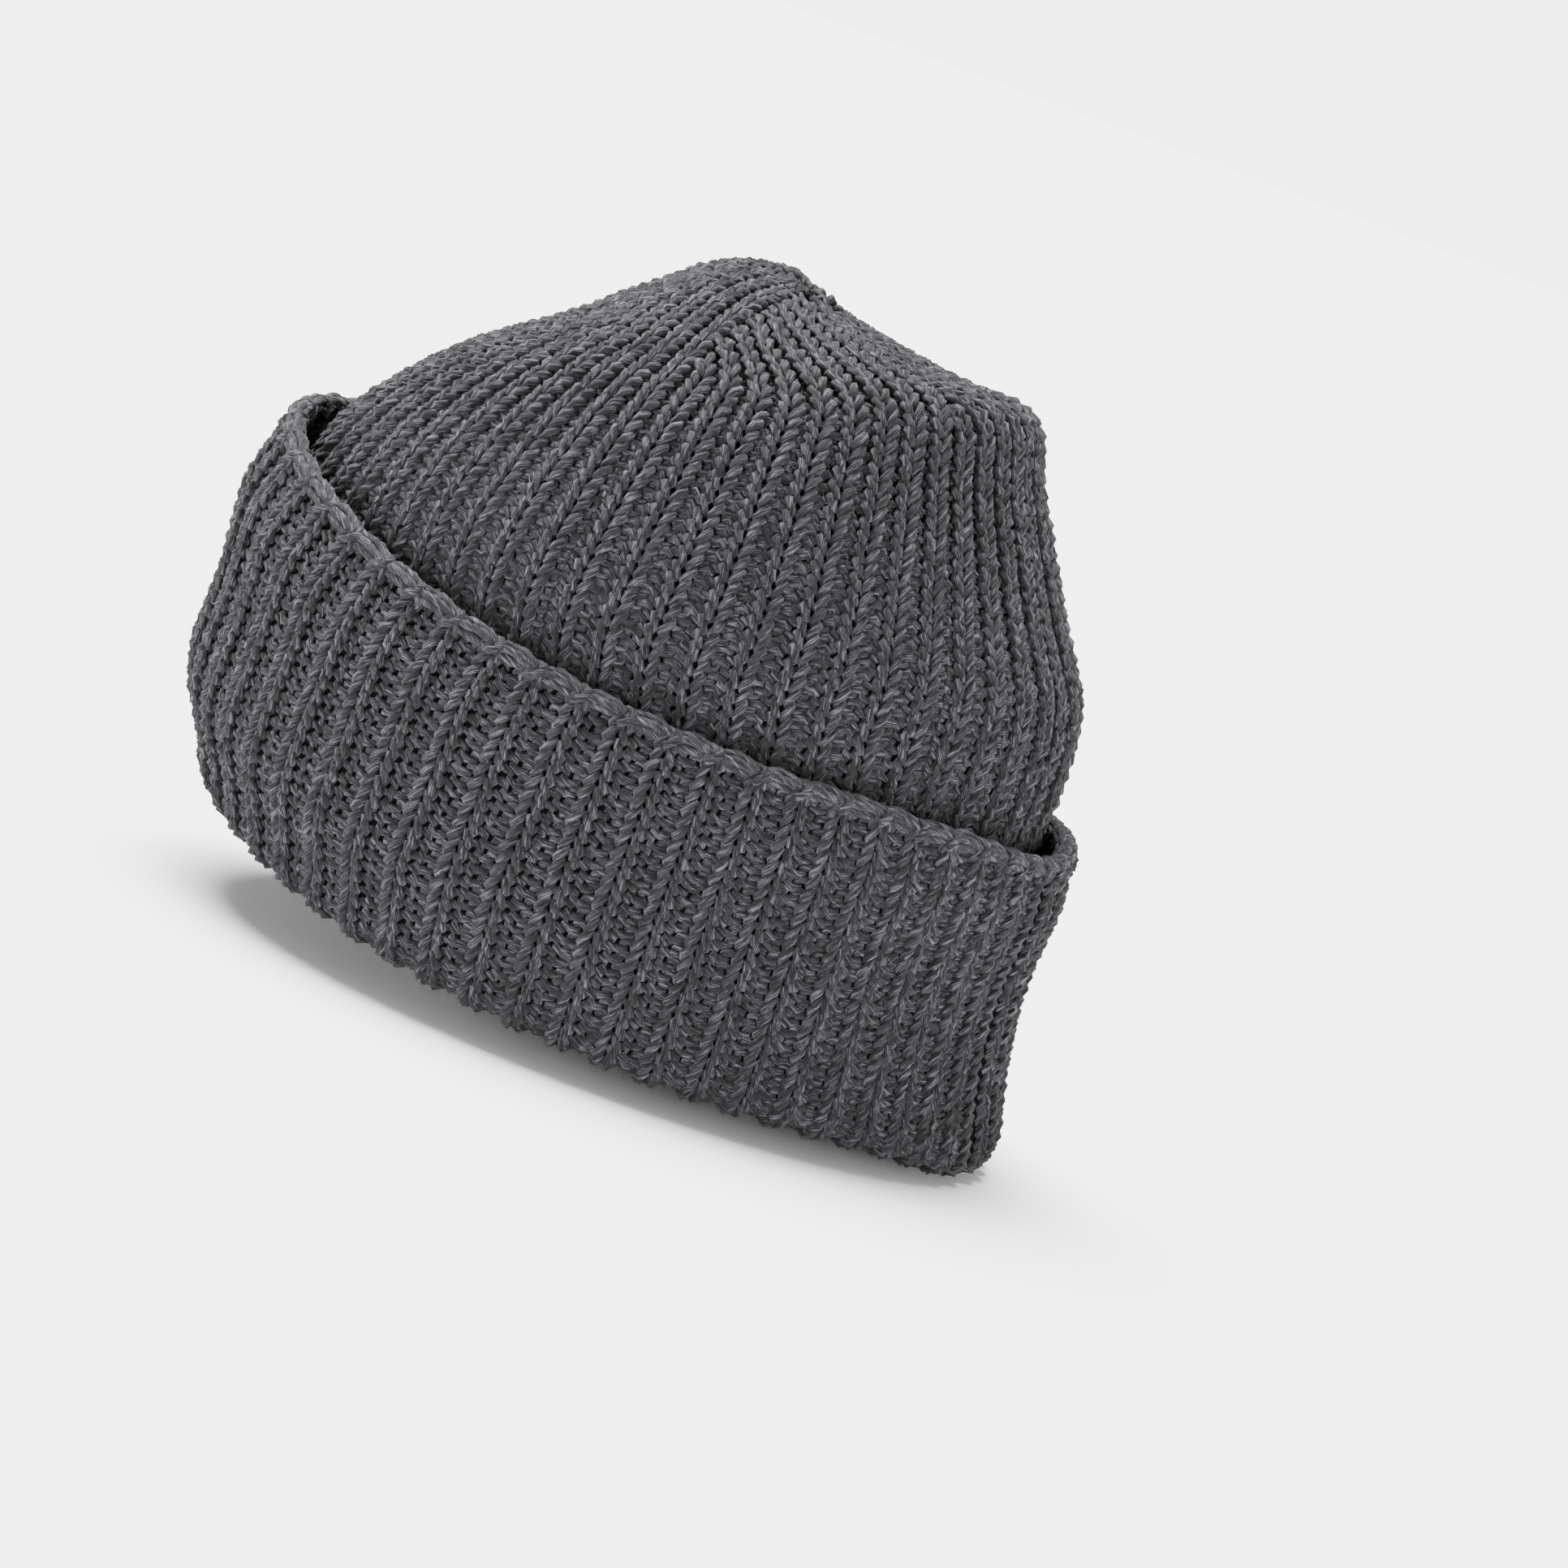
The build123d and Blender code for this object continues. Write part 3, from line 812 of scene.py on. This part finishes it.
class BEANIE_OT_label(bpy.types.Operator):
    """Hang the blank label beside the back seam and stitch its top edge"""
    bl_idname = "beanie.label"
    bl_label = "Sew the label"

    def execute(self, context):
        low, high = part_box("care_label")
        middle = (low + high) / 2
        tree = Tree(["care_label"])
        columns, rows = 25, 17
        out = Vector((middle.x, middle.y, 0)).normalized()
        side = Vector((-out.y, out.x, 0))
        flat = np.array([v.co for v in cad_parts["care_label"].data.vertices]) @ np.array(side)
        inner = []
        for u in np.linspace(flat.min() + 0.1 * MM, flat.max() - 0.1 * MM, columns):
            for z in np.linspace(low.z + 0.1 * MM, high.z - 0.1 * MM, rows):
                start = side * u + Vector((0, 0, z)) + out * (middle.dot(out) - 0.02)
                place, _ = tree.hit(start, out, 0.05)
                inner.append(place if place is not None else tree.tree.find_nearest(start + out * 0.02)[0])
        inner = np.array(inner).reshape(columns, rows, 3)
        share = np.linspace(1, 0, rows)[None, :, None]
        curl = np.sin(np.linspace(0.4, 2.7, columns))[:, None, None]
        grid = inner - np.array(out) * (share ** 2 * curl * 0.5 * MM)
        back = grid + np.array(out) * 0.3 * MM
        verts = np.concatenate([grid.reshape(-1, 3), back.reshape(-1, 3)])
        half = columns * rows
        faces = []
        for i in range(columns - 1):
            for j in range(rows - 1):
                a, b, c, d = i * rows + j, (i + 1) * rows + j, (i + 1) * rows + j + 1, i * rows + j + 1
                faces.append((d, c, b, a))
                faces.append((half + a, half + b, half + c, half + d))
        rim = [i * rows for i in range(columns)] + [(columns - 1) * rows + j for j in range(1, rows)]
        rim += [i * rows + rows - 1 for i in range(columns - 2, -1, -1)] + [j for j in range(rows - 2, 0, -1)]
        for a, b in zip(rim, rim[1:] + rim[:1]):
            faces.append((a, b, half + b, half + a))
        mesh = bpy.data.meshes.new("blank_label")
        mesh.from_pydata(verts.tolist(), [], faces)
        layer = mesh.uv_layers.new(name="tape")
        span = np.array([(i % half // rows, i % rows) for i in range(len(verts))], float)
        span *= ((flat.max() - flat.min()) / MM / (columns - 1), (high.z - low.z) / MM / (rows - 1))
        for loop in mesh.loops:
            layer.data[loop.index].uv = span[loop.vertex_index]
        mesh.polygons.foreach_set("use_smooth", np.ones(len(mesh.polygons), bool))
        mesh.validate()
        piece = bpy.data.objects.new("blank_label", mesh)
        context.scene.collection.objects.link(piece)
        if wall_faces_inwards(piece):
            mesh.flip_normals()
        paint(piece, shared("blank_satin_tape", tape))
        own(piece, "crown_body", "label_tape", "care_label")
        self.stitch(np.array(out))
        return {"FINISHED"}

    def stitch(self, out):
        """Short raised stitches of thread, one over each bar of the frame node."""
        points = np.array([v.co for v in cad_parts["label_stitches"].data.vertices])
        side = np.array((-out[1], out[0], 0.0))
        place = points @ side
        order = np.argsort(place)
        groups = np.split(order, np.where(np.diff(place[order]) > 0.4 * MM)[0] + 1)
        lines = []
        for group in groups:
            low, high = points[group].min(axis=0), points[group].max(axis=0)
            reach = (place[group].max() - place[group].min()) / 2
            t = np.linspace(-1, 1, 9)[:, None]
            lines.append(((low + high) / 2 + side * (t * reach) + out * (0.25 * MM * (t ** 4)), -out))
        piece = strands_piece("label_thread_stitches", lines, 0.28 * MM, seed=50)
        paint(piece, shared("matt_sewing_thread", sewing_thread))
        own(piece, "crown_body", "label_thread", "label_stitches")


def shell(name, wall, middle, rows):
    """Thin closed sheet inside a knitted wall; middle gives its depth in mm at a rib."""
    turns = np.arange(SHEET_LINES) / SHEET_LINES
    faces = []
    grids = []
    for half in (0.3, -0.3):
        t, r = np.meshgrid(turns, rows, indexing="ij")
        point, normal = wall.at(t, r)
        grids.append(point + normal * ((middle(t * RIBS) + half) * MM)[..., None])
    count = len(rows)
    verts = np.concatenate([g.reshape(-1, 3) for g in grids])
    back = SHEET_LINES * count
    for i in range(SHEET_LINES):
        k = (i + 1) % SHEET_LINES
        for j in range(count - 1):
            a, b, c, d = i * count + j, k * count + j, k * count + j + 1, i * count + j + 1
            faces.append((a, b, c, d))
            faces.append((back + d, back + c, back + b, back + a))
        faces.append((i * count, back + i * count, back + k * count, k * count))
        e, f = i * count + count - 1, k * count + count - 1
        faces.append((f, back + f, back + e, e))
    mesh = bpy.data.meshes.new(name)
    mesh.from_pydata(verts.tolist(), [], faces)
    mesh.validate()
    piece = bpy.data.objects.new(name, mesh)
    bpy.context.scene.collection.objects.link(piece)
    piece.data.polygons.foreach_set("use_smooth", np.ones(len(piece.data.polygons), bool))
    return piece


class BEANIE_OT_fabric(bpy.types.Operator):
    """Lay the sheets of fabric inside the loops, which close the knitting to the light and carry its painted
    shade
    """
    bl_idname = "beanie.fabric"
    bl_label = "Lay the fabric sheets"

    def execute(self, context):
        wall, lower, upper = body()
        rows = np.linspace(0, (lower + upper - 1) * ROWS, lower + upper + 1)
        # The sheets stand for the back of the knitting; their dark colour is painted shade between the loops.
        piece = shell("fabric_shade_layer_body", wall,
                      lambda ribs: -2.35 + 0.45 * -np.cos(2 * math.pi * ribs), rows)
        paint(piece, shared("painted_shade_between_loops", gap_shade_material))
        own(piece, "crown_body", "body_rib")

        wall, courses = cuff()
        piece = shell("fabric_shade_layer_cuff", wall,
                      lambda ribs: -2.2 + 0.4 * np.cos(2 * math.pi * ribs),
                      np.linspace(0, courses * ROWS, courses + 1))
        if wall_faces_inwards(piece):
            piece.data.flip_normals()
        # Painted shade between the loops of the cuff.
        paint(piece, shared("painted_shade_between_loops", gap_shade_material))
        own(piece, "cuff", "cuff_rib")
        return {"FINISHED"}


def wall_faces_inwards(piece):
    """True where a closed mesh has its faces inside out."""
    mesh = piece.data
    mesh.calc_loop_triangles()
    co = np.array([v.co for v in mesh.vertices])
    tri = np.array([t.vertices for t in mesh.loop_triangles])
    a, b, c = co[tri[:, 0]], co[tri[:, 1]], co[tri[:, 2]]
    return float(np.einsum("ij,ij->i", a, np.cross(b, c)).sum()) < 0


class BEANIE_OT_stage(bpy.types.Operator):
    """Set the floor, the lights and the camera"""
    bl_idname = "beanie.stage"
    bl_label = "Set the stage"

    def execute(self, context):
        stage = context.scene.beanie_stage
        colours = context.scene.beanie_colour
        bpy.ops.object.select_all(action="DESELECT")
        # A flat floor whose rim rises gently far away, so that no horizon shows.
        radius, rim_radius, rim_height = 8, 40, 12
        bpy.ops.mesh.primitive_cone_add(
            vertices=96, radius1=radius, radius2=rim_radius, depth=rim_height, end_fill_type="NGON",
            location=(0, 0, rim_height / 2 - 0.6 * MM))
        floor = context.active_object
        floor.name = "floor"
        bpy.ops.object.mode_set(mode="EDIT")
        bpy.ops.mesh.select_all(action="DESELECT")
        bpy.ops.object.mode_set(mode="OBJECT")
        for face in floor.data.polygons:
            face.select = face.center.z > rim_height / 2 - 0.1
        bpy.ops.object.mode_set(mode="EDIT")
        bpy.ops.mesh.select_mode(type="FACE")
        bpy.ops.mesh.delete(type="FACE")
        bpy.ops.mesh.select_all(action="SELECT")
        bpy.ops.mesh.flip_normals()
        bpy.ops.object.mode_set(mode="OBJECT")
        material = blank_material("matt_white_floor")
        shader = node(material, "ShaderNodeBsdfPrincipled",
                      inputs={"Base Color": linear(colours.floor), "Roughness": 0.9,
                              "Specular IOR Level": 0.1})
        paint(floor, finish_material(material, shader))

        phi, tau = stage.turn, stage.tilt
        towards = Vector((math.cos(phi), math.sin(phi) * math.cos(tau), math.sin(phi) * math.sin(tau)))
        up = Vector((0, -math.sin(tau), math.cos(tau)))
        right = Vector((-math.sin(phi), math.cos(phi) * math.cos(tau), math.cos(phi) * math.sin(tau)))
        data = bpy.data.cameras.new("camera")
        camera = bpy.data.objects.new("camera", data)
        context.scene.collection.objects.link(camera)
        data.lens = data.sensor_width * stage.distance / VIEW_WIDTH
        data.clip_end = 100
        place = Vector((0, 2 * MM, 0)) + towards * stage.distance
        place += right * VIEW_RIGHT + up * VIEW_UP
        matrix = Matrix((right, up, towards)).transposed().to_4x4()
        matrix.translation = place
        camera.matrix_world = matrix
        context.scene.camera = camera

        lamp = bpy.data.lights.new("key_light", "SUN")
        lamp.energy = stage.light
        lamp.angle = math.radians(40)
        key = bpy.data.objects.new("key_light", lamp)
        context.scene.collection.objects.link(key)
        key.rotation_euler = (up - towards * 0.14 + right * 0.10).to_track_quat("Z", "Y").to_euler()
        world = bpy.data.worlds.new("studio")
        context.scene.world = world
        world.use_nodes = True
        background = world.node_tree.nodes["Background"]
        background.inputs["Color"].default_value = (1, 1, 1, 1)
        background.inputs["Strength"].default_value = stage.fill
        return {"FINISHED"}


class BEANIE_PT_panel(bpy.types.Panel):
    """Sizes, colours and pieces of the beanie"""
    bl_label = "Beanie"
    bl_space_type = "VIEW_3D"
    bl_region_type = "UI"
    bl_category = "Beanie"

    def draw(self, context):
        for group in (getattr(context.scene, name) for name in GROUPS):
            box = self.layout.box()
            for name in group.__annotations__:
                box.prop(group, name)
        for operator in OPERATORS:
            self.layout.operator(operator.bl_idname)


OPERATORS = (BEANIE_OT_body, BEANIE_OT_crown, BEANIE_OT_cuff, BEANIE_OT_edge, BEANIE_OT_fabric,
             BEANIE_OT_seams, BEANIE_OT_label, BEANIE_OT_stage)
GROUPS = {"beanie_knit": BEANIE_PG_knit, "beanie_colour": BEANIE_PG_colour, "beanie_stage": BEANIE_PG_stage}


def register():
    for item in (*GROUPS.values(), *OPERATORS, BEANIE_PT_panel):
        bpy.utils.register_class(item)
    for name, group in GROUPS.items():
        setattr(bpy.types.Scene, name, bpy.props.PointerProperty(type=group))


def unregister():
    for name in GROUPS:
        delattr(bpy.types.Scene, name)
    for item in (*GROUPS.values(), *OPERATORS, BEANIE_PT_panel):
        bpy.utils.unregister_class(item)


def main():
    register()
    for operator in OPERATORS:
        group, name = operator.bl_idname.split(".")
        getattr(getattr(bpy.ops, group), name)()


if __name__ == "__main__":
    main()
